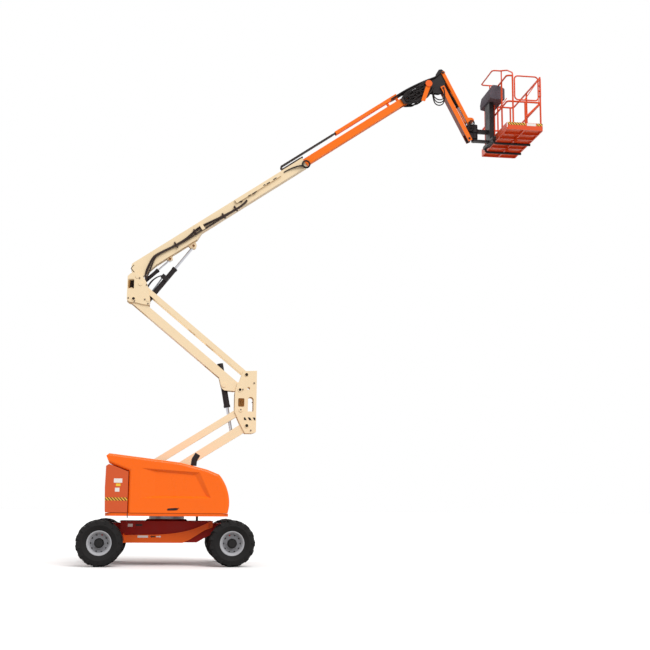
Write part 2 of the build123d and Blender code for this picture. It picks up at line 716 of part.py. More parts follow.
with BuildPart() as main_boom:
    with BuildSketch(boom_plane):
        with BuildLine():
            Polyline((30, BOOM_TOP - 20), (60, BOOM_TOP), (BOOM_LENGTH, BOOM_TOP), (BOOM_LENGTH, BOOM_BASE),
                     (1560, BOOM_BASE), (1400, 0), (430, 0), (60, -60), (-60, -20), (-40, 90), (-20, 190), close=True)
        make_face()
        Circle(72)
    extrude(amount=BOOM_W / 2, both=True)
    with BuildSketch(boom_plane):
        with Locations((BOOM_LENGTH / 2 + 110, BOOM_TOP - BOOM_H / 2)):
            Rectangle(BOOM_LENGTH + 2, BOOM_H - 2 * WALL)
    extrude(amount=BOOM_W / 2 - WALL, both=True, mode=Mode.SUBTRACT)
    with BuildSketch(boom_plane):
        Circle(PIN_R + RUN)
    extrude(amount=BOOM_W, both=True, mode=Mode.SUBTRACT)
    # keel open below, where the cylinders reach in
    with BuildSketch(boom_plane):
        with Locations((739, 5)):
            Rectangle(1322, 130)
        with Locations((-10, -70)):
            Rectangle(180, 60)
    extrude(amount=43, both=True, mode=Mode.SUBTRACT)
    for (s, t), reach, half in ((LIFT_EYE_AT, 60, 50), (MASTER_EYE_AT, 42, 56)):
        for side in (1, -1):
            with BuildSketch(boom_plane.offset(side * (half - 7))):
                with BuildLine():
                    Polyline((s - reach - 30, 10), (s - reach, t - 20), (s - 20, t - reach + 8), (s + 20, t - reach + 8),
                             (s + reach, t - 20), (s + reach + 30, 10), close=True)
                make_face()
            extrude(amount=7, both=True)
    # hose tray on the near side, open at its ends
    with BuildSketch(boom_plane.offset(BOOM_W / 2 + 20)):
        with Locations((2990, 222)):
            Rectangle(1080, 76)
    extrude(amount=20, both=True)
    with BuildSketch(boom_plane.offset(BOOM_W / 2 + 18)):
        with Locations((2990, 222)):
            Rectangle(1100, 66)
    extrude(amount=17, both=True, mode=Mode.SUBTRACT)
    # tray for the carrier's lower run
    with BuildSketch(boom_plane):
        with Locations((3830, BOOM_TOP + 5)):
            Rectangle(540, 12)
    extrude(amount=62, both=True)
save(main_boom.part, "main_boom")

with BuildPart() as fly_boom:
    with BuildSketch(boom_plane):
        with Locations(((FLY_END + 3300) / 2, FLY_MID)):
            Rectangle(FLY_END - 3300, FLY_H)
    extrude(amount=FLY_W / 2, both=True)
    with BuildSketch(boom_plane):
        with Locations(((FLY_END + 3300) / 2 + 40, FLY_MID)):
            Rectangle(FLY_END - 3300, FLY_H - 14)
    extrude(amount=FLY_W / 2 - 7, both=True, mode=Mode.SUBTRACT)
    # nose plates to the levelling head
    for side in (1, -1):
        with BuildSketch(boom_plane.offset(side * 74)):
            with BuildLine():
                Polyline((FLY_END - 160, FLY_MID - 62), (FLY_END - 160, FLY_MID + 62), (HEAD_AT[0], HEAD_AT[1] + 62),
                         (HEAD_AT[0], HEAD_AT[1] - 62), close=True)
            make_face()
            with Locations(HEAD_AT):
                Circle(62)
                Circle(LINK_PIN_R + RUN, mode=Mode.SUBTRACT)
        extrude(amount=7, both=True)
    # opening under the levelling cylinder, and its foot pin
    with BuildSketch(boom_plane):
        with Locations((FLY_END - 60, 90)):
            Rectangle(300, 60)
    extrude(amount=44, both=True, mode=Mode.SUBTRACT)
    with BuildSketch(boom_plane):
        with Locations(LEVEL_FOOT_AT):
            Circle(LINK_PIN_R)
    extrude(amount=FLY_W / 2 - 2, both=True)
save(fly_boom.part, "fly_boom")

level_foot = along(BOOM_PIVOT, BOOM_ANGLE, *LEVEL_FOOT_AT)
level_eye = along(BOOM_PIVOT, BOOM_ANGLE, *LEVEL_EYE_AT)
barrel, rod = cylinder_pair(level_foot, level_eye, 480, 30, 14, 150, 32, 44, 60)
save(barrel, "level_cylinder_barrel")
save(rod, "level_cylinder_rod")

lift_eye = along(BOOM_PIVOT, BOOM_ANGLE, *LIFT_EYE_AT)
barrel, rod = cylinder_pair(LIFT_FOOT, lift_eye, 842, 50, 26, 330, 42, 64, 90)
lift_line = degrees(atan2(lift_eye[1] - LIFT_FOOT[1], lift_eye[0] - LIFT_FOOT[0]))
with BuildPart() as lift_barrel:
    add(barrel)
    with BuildSketch(side_plane(LIFT_FOOT, lift_line, y=-63)):
        with Locations((560, 30)):
            Rectangle(90, 150)
    extrude(amount=18, both=True)
save(lift_barrel.part, "lift_cylinder_barrel")
save(rod, "lift_cylinder_rod")

master_eye = along(BOOM_PIVOT, BOOM_ANGLE, *MASTER_EYE_AT)
barrel, rod = cylinder_pair(UPPER_LINK_TOP, master_eye, 461, 36, 16, 190, 36, 76, 70)
save(barrel, "master_cylinder_barrel")
save(rod, "master_cylinder_rod")

# cable carrier: bracket and half-speed loop, and the tube that rides on the fly
CARRIER_W = 90
with BuildPart() as cable_carrier:
    with BuildSketch(boom_plane):
        with BuildLine():
            Line((4150, 285), (3680, 285))
            ThreePointArc((3680, 285), (3630, 330), (3680, 375))
            Polyline((3680, 375), (5300, 375), (5300, 350), (3680, 350))
            ThreePointArc((3680, 350), (3655, 330), (3680, 310))
            Polyline((3680, 310), (4150, 310), (4150, 285))
        make_face()
    extrude(amount=CARRIER_W / 2, both=True)
save(cable_carrier.part, "cable_carrier")

with BuildPart() as carrier_tube:
    with BuildSketch(boom_plane):
        with BuildLine():
            Polyline((5010, 322), (FLY_END - 130, 322), (FLY_END - 130, 388), (5010, 388), close=True)
        make_face()
    extrude(amount=62, both=True)
    with BuildSketch(boom_plane):
        with BuildLine():
            Polyline((4990, 330), (FLY_END, 330), (FLY_END, 380), (4990, 380), close=True)
        make_face()
    extrude(amount=54, both=True, mode=Mode.SUBTRACT)
    for s in (FLY_END - 160, FLY_END - 390):
        with BuildSketch(boom_plane):
            with Locations((s, 282.5)):
                Rectangle(40, 79.8)
        extrude(amount=30, both=True)
save(carrier_tube.part, "carrier_tube")

# ---------------------------------------------------------------- levelling head and jib
JIB_LOW = (JIB_PIN[0], JIB_PIN[1] - JIB_STEP)
JIB_END = along(JIB_PIN, JIB_ANGLE, JIB_LENGTH)
JIB_END_LOW = (JIB_END[0], JIB_END[1] - JIB_STEP)
head_plane = side_plane((0, 0))
HEAD_OUTLINE = [(5085, 9790), (5085, 9850), (5115, 9890), (5220, 9915), (5310, 9975), (5340, 10115), (5380, 10178),
                (5440, 10188), (5512, 10135), (5515, 9740), (5470, 9690), (5385, 9655), (5213, 9662), (5160, 9700)]
head_plates = slab(head_plane, HEAD_OUTLINE, 42, 14)
with BuildPart() as level_head:
    add(head_plates)
    for at in (JIB_PIN, JIB_LOW):
        with BuildSketch(head_plane):
            with Locations(at):
                Circle(22)
        extrude(amount=100, both=True)
    with BuildSketch(head_plane):
        with Locations(HEAD_PIVOT):
            Circle(LINK_PIN_R)
    extrude(amount=90, both=True)
    with BuildSketch(head_plane):
        with Locations((JIB_PIN[0], JIB_PIN[1] - JIB_STEP / 2)):
            Circle(LINK_PIN_R)
    extrude(amount=60, both=True)
    with BuildSketch(head_plane):
        with Locations((5378, 10050)):
            Rectangle(44, 90)
    extrude(amount=44, both=True)
save(level_head.part, "level_head")

jib_plane = side_plane(JIB_PIN, JIB_ANGLE)
jib_low_plane = side_plane(JIB_LOW, JIB_ANGLE)
with BuildPart() as jib_upper:
    for side in (1, -1):
        with BuildSketch(jib_plane.offset(side * 70)):
            with Locations((JIB_LENGTH / 2, 0)):
                Rectangle(JIB_LENGTH + 60, 70)
            with Locations((0, 0), (JIB_LENGTH, 0)):
                Circle(35)
                Circle(22 + RUN, mode=Mode.SUBTRACT)
        extrude(amount=10, both=True)
    with BuildSketch(jib_plane):
        with Locations((250, 29)):
            Rectangle(300, 12)
    extrude(amount=62, both=True)
    # lug on the outer edge
    for side in (1, -1):
        with BuildSketch(jib_plane.offset(side * 70)):
            with BuildLine():
                Polyline((1085, 30), (1120, 105), (1150, 128), (1195, 128), (1212, 100), (1212, 30), close=True)
            make_face()
        extrude(amount=10, both=True)
save(jib_upper.part, "jib_upper")

with BuildPart() as jib_lower:
    with BuildSketch(jib_low_plane):
        with Locations((JIB_LENGTH / 2 + 2, 0)):
            Rectangle(JIB_LENGTH + 96, 90)
    extrude(amount=92, both=True)
    with BuildSketch(jib_low_plane):
        with Locations((JIB_LENGTH / 2, 9)):
            Rectangle(JIB_LENGTH + 300, 90)
    extrude(amount=60, both=True, mode=Mode.SUBTRACT)
    with BuildSketch(jib_low_plane):
        with Locations((JIB_LENGTH / 2, 9)):
            Rectangle(JIB_LENGTH - 260, 90)
    extrude(amount=84, both=True, mode=Mode.SUBTRACT)
    with BuildSketch(jib_low_plane):
        with Locations((0, 0), (JIB_LENGTH, 0)):
            Circle(22 + RUN)
    extrude(amount=100, both=True, mode=Mode.SUBTRACT)
    with BuildSketch(jib_low_plane):
        with Locations((0, -60), (JIB_LENGTH, -60)):
            Rectangle(240, 60)
    extrude(amount=60, both=True, mode=Mode.SUBTRACT)
save(jib_lower.part, "jib_lower")

JIB_CYL_FOOT = (JIB_PIN[0], JIB_PIN[1] - JIB_STEP / 2)
barrel, rod = cylinder_pair(JIB_CYL_FOOT, JIB_END, 640, 32, 18, 80, 36, 56, 80)
save(barrel, "jib_cylinder_barrel")
save(rod, "jib_cylinder_rod")

END_OUTLINE = [(5975, 8655), (5975, 9085), (6050, 9085), (6050, 9000), (6100, 9000), (6100, 8930), (6046, 8930),
               (6046, 8828), (6100, 8828), (6100, 8712), (6040, 8712), (6040, 8655)]
end_plates = slab(head_plane, END_OUTLINE, 42, 14)
with BuildPart() as jib_end:
    add(end_plates)
    with BuildSketch(head_plane):
        with Locations(JIB_END_LOW):
            Circle(22)
    extrude(amount=100, both=True)
    for side in (1, -1):
        with BuildSketch(head_plane.offset(side * 71)):
            with Locations(JIB_END):
                Circle(22)
        extrude(amount=29, both=True)
    # rotary actuator on a vertical axis
    with BuildSketch(Plane.XY.offset(8712)):
        with Locations((ROTATOR_X, 0)):
            Circle(72)
    extrude(amount=300)
save(jib_end.part, "jib_end")

# ---------------------------------------------------------------- platform
PX0 = PLATFORM_X - PLATFORM_W / 2
PX1 = PLATFORM_X + PLATFORM_W / 2
PY = PLATFORM_L / 2
TOP_Z = FLOOR_Z + RAIL_H
MID_Z = FLOOR_Z + 600
TOE_H = 150
RAIL_Z = TOP_Z - RAIL_TUBE

with BuildPart() as platform_support:
    # arm under the rotary actuator and collar round its middle
    with BuildSketch(Plane.XY.offset(8650)):
        with Locations((ROTATOR_X, 0)):
            Circle(64)
        with Locations(((ROTATOR_X + 6460) / 2, 0)):
            Rectangle(6460 - ROTATOR_X, 110)
    extrude(amount=40)
    with BuildSketch(Plane.XY.offset(8690)):
        with Locations((ROTATOR_X, 0)):
            Circle(40)
    extrude(amount=21.5)
    with BuildSketch(Plane.XY.offset(8840)):
        with Locations((ROTATOR_X, 0)):
            Circle(90)
        with Locations(((ROTATOR_X + 6460) / 2, 0)):
            Rectangle(6460 - ROTATOR_X, 80)
        with Locations((ROTATOR_X, 0)):
            Circle(73, mode=Mode.SUBTRACT)
    extrude(amount=78)
    # upright that carries the basket
    with BuildSketch(Plane.XY.offset(8600)):
        with Locations((6475, 0)):
            Rectangle(90, 320)
            Rectangle(70, 300, mode=Mode.SUBTRACT)
    extrude(amount=885)
    with BuildSketch(Plane.YZ.offset(6430)):
        with Locations((0, 8640)):
            Rectangle(700, 70)
    extrude(amount=70)
for y in (-300, 300):
    fork = tube([(6475, y, 8604.5), (6475, y, FLOOR_Z - 100), (PX1 - 70, y, FLOOR_Z - 100)], 25, 45)
    save(fork, "platform_fork_near" if y < 0 else "platform_fork_far")
save(platform_support.part, "platform_support")

with BuildPart() as platform_floor:
    with BuildSketch(Plane.XY.offset(FLOOR_Z)):
        with Locations((PLATFORM_X, 0)):
            RectangleRounded(PLATFORM_W, PLATFORM_L, 30)
    extrude(amount=TOE_H)
    with BuildSketch(Plane.XY.offset(FLOOR_Z + 45)):
        with Locations((PLATFORM_X, 0)):
            Rectangle(PLATFORM_W - 8, PLATFORM_L - 8)
    extrude(amount=TOE_H, mode=Mode.SUBTRACT)
    with BuildSketch(Plane.XY.offset(FLOOR_Z)):
        with Locations((PLATFORM_X, 0)):
            with GridLocations(PLATFORM_W / 2 - 4, PLATFORM_L / 6 - 3, 2, 6):
                Rectangle(PLATFORM_W / 2 - 34, PLATFORM_L / 6 - 34)
    extrude(amount=38, mode=Mode.SUBTRACT)
    for y in (-300, 300):
        with BuildSketch(Plane.XY.offset(FLOOR_Z - 74.5)):
            with Locations((PLATFORM_X, y)):
                Rectangle(60, 60)
        extrude(amount=80)
save(platform_floor.part, "platform_floor")

SKIN = 4
x0, x1, y1 = PX0 + RAIL_TUBE + SKIN + 1, PX1 - RAIL_TUBE - SKIN - 1, PY - RAIL_TUBE - SKIN - 1
POST_Z = FLOOR_Z + 45.3
GATE_HINGE_X = x1 - 45


def frame(paths, posts=()):
    """A welded tube frame: bent rails and plain posts (x, y, low, high)."""
    with BuildPart() as welded:
        for path in paths:
            add(tube(path, RAIL_TUBE, 60))
        for x, y, low, high in posts:
            with BuildSketch(Plane.XY.offset(low)):
                with Locations((x, y)):
                    Circle(RAIL_TUBE - 1)
            extrude(amount=high - low)
    return welded.part


BEND = 100
NEAR_POST = 120
GUARD_Y, GUARD_FAR_Y, GUARD_Z = -530, 290, 10035
inner_rails = [[(x0 + NEAR_POST, -y1, z), (x0, -y1, z), (x0, y1, z), (x0 + BEND, y1, z)] for z in (RAIL_Z, MID_Z)]
outer_rails = [[(x1, -y1 + 40, z), (x1, y1, z), (x1 - BEND, y1, z)] for z in (RAIL_Z, MID_Z)]
save(frame(inner_rails, [(x0, GUARD_Y, POST_Z, RAIL_Z), (x0, 0, POST_Z, RAIL_Z), (x0, 519, POST_Z, RAIL_Z),
                         (x0 + 70, y1, POST_Z, RAIL_Z), (x0 + NEAR_POST, -y1, POST_Z, TOP_Z)]), "rails_inner")
outer_frame = frame(outer_rails, [(x1, -y1 + 40, POST_Z, TOP_Z), (x1, 0, POST_Z, RAIL_Z), (x1 - 70, y1, POST_Z, RAIL_Z)])
with BuildPart() as rails_outer:
    add(outer_frame)
    # straps on the gate's side of the corner post
    with BuildSketch(Plane.XY.offset(9385)):
        with Locations((x1 - 14, -y1 + 16)):
            Rectangle(38, 56)
    extrude(amount=380)
    for z in (9411, 9526, 9641):
        with BuildSketch(Plane.XY.offset(z)):
            with Locations((x1 - 30, -y1 + 16)):
                Rectangle(30, 60)
        extrude(amount=86, mode=Mode.SUBTRACT)
save(rails_outer.part, "rails_outer")
far_rails = [[(x0 + BEND + 0.5, y1, z), (x1 - BEND - 0.5, y1, z)] for z in (RAIL_Z, MID_Z)]
save(frame(far_rails, [(PLATFORM_X, y1, POST_Z, RAIL_Z)]), "rails_far_end")
near_rails = [[(x0 + NEAR_POST + RAIL_TUBE, -y1, MID_Z), (x1 - 24, -y1, MID_Z)], [(6983, -y1, 8940), (x1 - 30, -y1, MID_Z - 20)]]
save(frame(near_rails, [(6960, -y1, POST_Z, MID_Z)]), "rails_near_end")
with BuildPart() as console_guard:
    add(tube([(x0 + NEAR_POST, -y1, TOP_Z + 0.3), (x0 + NEAR_POST, -y1, TOP_Z + 45), (6690, GUARD_Y - 60, GUARD_Z),
              (6560, GUARD_Y, GUARD_Z), (6395, GUARD_Y, GUARD_Z), (6395, GUARD_FAR_Y, GUARD_Z),
              (6640, GUARD_FAR_Y, GUARD_Z)], 15, 60))
    for y in (GUARD_Y, GUARD_FAR_Y):
        add(tube([(x0, y, GUARD_Z), (x0, y, TOP_Z + 0.3)], 14, 0))
save(console_guard.part, "console_guard")

GATE_LOW, GATE_HIGH, GATE_X0 = MID_Z + 42, TOP_Z - 18, 6745
with BuildPart() as gate:
    add(tube([(6990, -y1, GATE_HIGH), (GATE_HINGE_X - 9, -y1, GATE_HIGH), (GATE_HINGE_X - 9, -y1, GATE_LOW),
              (GATE_X0, -y1, GATE_LOW), (GATE_X0, -y1, GATE_HIGH), (6991, -y1, GATE_HIGH)], 15, 75))
    add(tube([(6951, -y1, GATE_LOW + 4), (GATE_HINGE_X - 20, -y1, GATE_HIGH - 90)], 9, 0))
    # round hinge pin
    with BuildSketch(Plane.XY.offset(GATE_LOW - 22)):
        with Locations((GATE_HINGE_X - 9, -y1)):
            Circle(8)
    extrude(amount=60)
save(gate.part, "gate")

with BuildPart() as control_console:
    with BuildSketch(side_plane((0, 0), y=5)):
        with BuildLine():
            Polyline((6700, 9490), (6480, 9486), (6396, 9505), (6388, 9600), (6420, 9752), (6448, 9786), (6540, 9786),
                     (6556, 9768), (6620, 9768), (6700, 9715), close=True)
        make_face()
    extrude(amount=375, both=True)
    # hole for the basket's middle post, which carries the console
    with BuildSketch(Plane.XY.offset(9400)):
        with Locations((x0, 0)):
            Circle(RAIL_TUBE - 1 + RUN)
    extrude(amount=500, mode=Mode.SUBTRACT)
save(control_console.part, "control_console")
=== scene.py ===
"""Looks for the articulating boom lift: finishes, hoses, stripes, fasteners and light."""

import json
import math

import bpy
from mathutils import Matrix, Vector


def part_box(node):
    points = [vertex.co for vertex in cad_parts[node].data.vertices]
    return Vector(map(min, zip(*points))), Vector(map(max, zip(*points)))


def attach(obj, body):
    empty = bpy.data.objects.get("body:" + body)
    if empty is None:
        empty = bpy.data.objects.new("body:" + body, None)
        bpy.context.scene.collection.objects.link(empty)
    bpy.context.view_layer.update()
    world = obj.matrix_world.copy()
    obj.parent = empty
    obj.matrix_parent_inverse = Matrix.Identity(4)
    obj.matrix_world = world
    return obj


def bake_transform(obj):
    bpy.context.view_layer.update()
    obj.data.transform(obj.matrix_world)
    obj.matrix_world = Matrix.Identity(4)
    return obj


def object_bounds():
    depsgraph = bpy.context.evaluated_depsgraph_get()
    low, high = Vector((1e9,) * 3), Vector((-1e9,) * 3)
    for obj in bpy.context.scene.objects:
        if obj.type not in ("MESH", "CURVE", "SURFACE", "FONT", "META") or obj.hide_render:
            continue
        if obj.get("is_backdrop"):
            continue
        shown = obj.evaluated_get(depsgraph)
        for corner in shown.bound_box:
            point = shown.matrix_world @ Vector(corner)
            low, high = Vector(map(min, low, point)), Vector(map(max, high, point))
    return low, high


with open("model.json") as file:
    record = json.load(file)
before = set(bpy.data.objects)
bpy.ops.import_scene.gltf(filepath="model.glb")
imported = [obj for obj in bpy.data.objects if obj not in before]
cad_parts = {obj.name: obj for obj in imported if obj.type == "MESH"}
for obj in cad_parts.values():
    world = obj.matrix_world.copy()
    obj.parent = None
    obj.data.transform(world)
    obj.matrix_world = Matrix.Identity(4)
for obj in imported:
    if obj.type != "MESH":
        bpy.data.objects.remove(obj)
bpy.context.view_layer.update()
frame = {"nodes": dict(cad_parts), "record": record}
record = frame["record"]
joints = {j["name"]: j for j in record["behaviour"]["joints"]}
scene = bpy.context.scene


# ---------------------------------------------------------------- camera
def aim_camera(place, yaw, pitch, roll, lens):
    """A camera with its forward direction given by yaw from +Y and pitch above level."""
    yaw, pitch, roll = (math.radians(a) for a in (yaw, pitch, roll))
    ahead = Vector((-math.sin(yaw) * math.cos(pitch), math.cos(yaw) * math.cos(pitch), math.sin(pitch)))
    right = Vector((math.cos(yaw), math.sin(yaw), 0))
    up = right.cross(ahead)
    c, s = math.cos(roll), math.sin(roll)
    right, up = c * right + s * up, -s * right + c * up
    data = bpy.data.cameras.new("view")
    data.lens = lens
    data.sensor_width = 36
    data.clip_end = 200
    camera = bpy.data.objects.new("view", data)
    scene.collection.objects.link(camera)
    turn = Matrix((right, up, -ahead)).transposed().to_4x4()
    camera.matrix_world = Matrix.Translation(place) @ turn
    scene.camera = camera


aim_camera(place=(-0.095, -21.517, 1.095), yaw=-8.22, pitch=9.34, roll=0.46, lens=61.14)


# ---------------------------------------------------------------- materials
def srgb(r, g, b):
    """Linear colour from 0..255 display values."""
    out = []
    for v in (r, g, b):
        v /= 255
        out.append(v / 12.92 if v <= 0.04045 else ((v + 0.055) / 1.055) ** 2.4)
    return (*out, 1.0)


def new_material(name):
    mat = bpy.data.materials.new(name)
    mat.use_nodes = True
    nodes, links = mat.node_tree.nodes, mat.node_tree.links
    return mat, nodes, links, nodes["Principled BSDF"]


def math_node(nodes, links, operation, first, second=None):
    """A maths node; its inputs are numbers or other nodes' outputs."""
    node = nodes.new("ShaderNodeMath")
    node.operation = operation
    for socket, value in zip(node.inputs, (first, second)):
        if isinstance(value, (int, float)):
            socket.default_value = value
        elif value is not None:
            links.new(value, socket)
    return node.outputs[0]


def coated(name, colour, rough=0.35, coat=0.0, metallic=0.0, shine=0.2, vary=0.06, grain=0.0, scale=6.0):
    """A finish whose colour and gloss drift a little over the surface, with an optional fine grain."""
    mat, nodes, links, bsdf = new_material(name)
    place = nodes.new("ShaderNodeTexCoord")
    drift = nodes.new("ShaderNodeTexNoise")
    drift.inputs["Scale"].default_value = scale
    drift.inputs["Detail"].default_value = 5
    links.new(place.outputs["Object"], drift.inputs["Vector"])
    tint = nodes.new("ShaderNodeMix")
    tint.data_type = "RGBA"
    tint.inputs[6].default_value = (*[c * (1 - vary) for c in colour[:3]], 1)
    tint.inputs[7].default_value = (*[min(1, c * (1 + vary)) for c in colour[:3]], 1)
    links.new(drift.outputs["Fac"], tint.inputs[0])
    links.new(tint.outputs[2], bsdf.inputs["Base Color"])
    gloss = nodes.new("ShaderNodeMapRange")
    gloss.inputs["From Min"].default_value = 0.3
    gloss.inputs["From Max"].default_value = 0.7
    gloss.inputs["To Min"].default_value = rough * 0.85
    gloss.inputs["To Max"].default_value = min(1, rough * 1.2)
    links.new(drift.outputs["Fac"], gloss.inputs["Value"])
    links.new(gloss.outputs["Result"], bsdf.inputs["Roughness"])
    bsdf.inputs["Metallic"].default_value = metallic
    bsdf.inputs["Specular IOR Level"].default_value = shine
    bsdf.inputs["Coat Weight"].default_value = coat
    bsdf.inputs["Coat Roughness"].default_value = 0.12
    if grain:
        fine = nodes.new("ShaderNodeTexNoise")
        fine.inputs["Scale"].default_value = 220
        fine.inputs["Detail"].default_value = 4
        links.new(place.outputs["Object"], fine.inputs["Vector"])
        bump = nodes.new("ShaderNodeBump")
        bump.inputs["Strength"].default_value = grain
        bump.inputs["Distance"].default_value = 0.002
        links.new(fine.outputs["Fac"], bump.inputs["Height"])
        links.new(bump.outputs["Normal"], bsdf.inputs["Normal"])
    return mat


def striped(name, light, dark, width, slope):
    """Slanted hazard stripes of a width in metres along X + Y, leaning with Z."""
    mat, nodes, links, bsdf = new_material(name)
    place = nodes.new("ShaderNodeTexCoord")
    split = nodes.new("ShaderNodeSeparateXYZ")
    links.new(place.outputs["Object"], split.inputs[0])
    across = math_node(nodes, links, "ADD", split.outputs["X"], split.outputs["Y"])
    lean = math_node(nodes, links, "MULTIPLY", split.outputs["Z"], slope)
    count = math_node(nodes, links, "DIVIDE", math_node(nodes, links, "ADD", across, lean), width * 2)
    step = math_node(nodes, links, "GREATER_THAN", math_node(nodes, links, "FRACT", count), 0.5)
    tint = nodes.new("ShaderNodeMix")
    tint.data_type = "RGBA"
    tint.inputs[6].default_value = light
    tint.inputs[7].default_value = dark
    links.new(step, tint.inputs[0])
    links.new(tint.outputs[2], bsdf.inputs["Base Color"])
    bsdf.inputs["Roughness"].default_value = 0.5
    bsdf.inputs["Specular IOR Level"].default_value = 0.2
    return mat


def surface_place(mat):
    """The nodes and links of a finish, and the X, Y and Z of the surface it is on."""
    nodes, links = mat.node_tree.nodes, mat.node_tree.links
    split = nodes.new("ShaderNodeSeparateXYZ")
    links.new(nodes["Texture Coordinate"].outputs["Object"], split.inputs[0])
    return nodes, links, split.outputs


def paint_where(mat, mask, colour):
    """Lay a colour over a finish wherever the mask is 1."""
    nodes, links = mat.node_tree.nodes, mat.node_tree.links
    base = nodes["Principled BSDF"].inputs["Base Color"]
    tint = nodes.new("ShaderNodeMix")
    tint.data_type = "RGBA"
    links.new(mask, tint.inputs[0])
    links.new(base.links[0].from_socket, tint.inputs[6])
    tint.inputs[7].default_value = colour
    links.new(tint.outputs[2], base)


def hub_and_rim(name, rim, hub, ring, hub_radius, ring_radius):
    """Pale wheel with a dark hub and a greyer ring: the distance from the wheel's axis picks the colour."""
    mat = coated(name, rim, rough=0.4, vary=0.08)
    nodes, links, place = surface_place(mat)
    wheel_x, _, wheel_z = joints["spin_front_near"]["pos_m"]
    along_x = math_node(nodes, links, "ABSOLUTE", place["X"])
    dx = math_node(nodes, links, "SUBTRACT", along_x, wheel_x)
    dz = math_node(nodes, links, "SUBTRACT", place["Z"], wheel_z)
    squares = [math_node(nodes, links, "MULTIPLY", d, d) for d in (dx, dz)]
    away = math_node(nodes, links, "SQRT", math_node(nodes, links, "ADD", *squares))
    for radius, colour in ((ring_radius, ring), (hub_radius, hub)):
        paint_where(mat, math_node(nodes, links, "LESS_THAN", away, radius), colour)
    return mat


def nose_to_black(name, colour):
    """Orange fly whose nose, past where the hoses start, is black."""
    mat = coated(name, colour, rough=0.55, vary=0.04)
    nodes, links, place = surface_place(mat)
    start, ahead = joints["boom_lift"]["pos_m"], joints["telescope"]["axis"]
    parts = []
    for axis, i in (("X", 0), ("Z", 2)):
        from_start = math_node(nodes, links, "SUBTRACT", place[axis], start[i])
        parts.append(math_node(nodes, links, "MULTIPLY", from_start, ahead[i]))
    along = math_node(nodes, links, "ADD", *parts)
    paint_where(mat, math_node(nodes, links, "GREATER_THAN", along, NOSE_STARTS), NOSE_BLACK)
    return mat


def shade_between_sides(name, side, between, node):
    """A link whose side faces keep their colour and whose edges and inside are painted dark: painted shade of
    its underside and inside.
    """
    mat = coated(name, side, rough=0.4, vary=0.05)
    nodes, links, place = surface_place(mat)
    away = math_node(nodes, links, "ABSOLUTE", place["Y"])
    side_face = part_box(node)[1].y
    paint_where(mat, math_node(nodes, links, "LESS_THAN", away, side_face - 0.002), between)
    return mat


ORANGE = srgb(250, 106, 8)
CREAM = srgb(240, 217, 180)
FLY_ORANGE = srgb(246, 114, 8)
STRIPE_DARK = srgb(36, 28, 24)
NOSE_BLACK = srgb(40, 30, 28)
NOSE_STARTS = 6.72      # distance along the boom
RIM = {"rim": srgb(170, 170, 174), "hub": srgb(26, 25, 26), "ring": srgb(118, 118, 122),
       "hub_radius": 0.088, "ring_radius": 0.168}
FINISHES = {
    "cream_paint": coated("cream paint", CREAM, rough=0.45, vary=0.03),
    "orange_paint": coated("orange paint", srgb(240, 98, 12), rough=0.35, coat=0.08, vary=0.03),
    "fly_orange": coated("fly orange", FLY_ORANGE, rough=0.55, vary=0.04),
    "hood_orange": coated("hood orange", ORANGE, rough=0.3, coat=0.12, vary=0.02),
    # darker copy of the orange: painted shade of the rear panel's unlit face
    "counterweight_orange": coated("counterweight in painted shade", srgb(208, 88, 46), rough=0.5, vary=0.05,
                                   grain=0.15),
    # dark red: painted shade, the turntable's shadow on a chassis whose paint is orange
    "chassis_red": coated("chassis in painted shade", srgb(150, 18, 4), rough=0.45, vary=0.1),
    "basket_orange": coated("basket orange", srgb(224, 78, 30), rough=0.4, coat=0.08, vary=0.06),
    "black_paint": coated("black paint", srgb(34, 28, 29), rough=0.5, vary=0.2),
    "rod_chrome": coated("chromed rod", srgb(190, 190, 196), rough=0.2, metallic=1.0, vary=0.03),
    "steel_grey": coated("machined steel", srgb(140, 142, 146), rough=0.35, metallic=0.9, vary=0.08),
    "rim_grey": hub_and_rim("rim grey", **RIM),
    "tyre_black": coated("tyre rubber", srgb(38, 37, 37), rough=0.8, shine=0.1, vary=0.25, grain=0.5,
                         scale=9),
    "black_plastic": coated("black plastic", srgb(48, 38, 34), rough=0.55, vary=0.2, grain=0.2),
    "cover_grey": coated("grey cover", srgb(96, 90, 98), rough=0.85, shine=0.1, vary=0.35, grain=0.6,
                         scale=14),
    "engine_grey": coated("cast engine", srgb(80, 82, 86), rough=0.55, metallic=0.4, vary=0.2, grain=0.4),
}
HOSE = coated("hose rubber", srgb(34, 29, 29), rough=0.55, vary=0.25, scale=30)
WRAP = coated("hose sleeve", srgb(64, 52, 48), rough=0.7, vary=0.25, scale=30)
CLIP = coated("clip dark", srgb(58, 42, 38), rough=0.5, vary=0.2)
PLATE_WHITE = coated("blank plate white", srgb(232, 226, 222), rough=0.5, vary=0.04)
PLATE_YELLOW = coated("blank plate yellow", srgb(240, 196, 60), rough=0.5, vary=0.04)
HAZARD = striped("hazard stripes", srgb(250, 190, 70), STRIPE_DARK, 0.028, 1.0)
KNEE_HAZARD = striped("knee stripes", CREAM, STRIPE_DARK, 0.048, 0.6)
SHADE = coated("inside in shade", srgb(196, 150, 92), rough=0.8, vary=0.12)
BRASS = coated("bracket brown", srgb(120, 78, 44), rough=0.45, metallic=0.3, vary=0.2)
BOLT = coated("plated bolt", srgb(120, 104, 90), rough=0.4, metallic=0.6, vary=0.2)
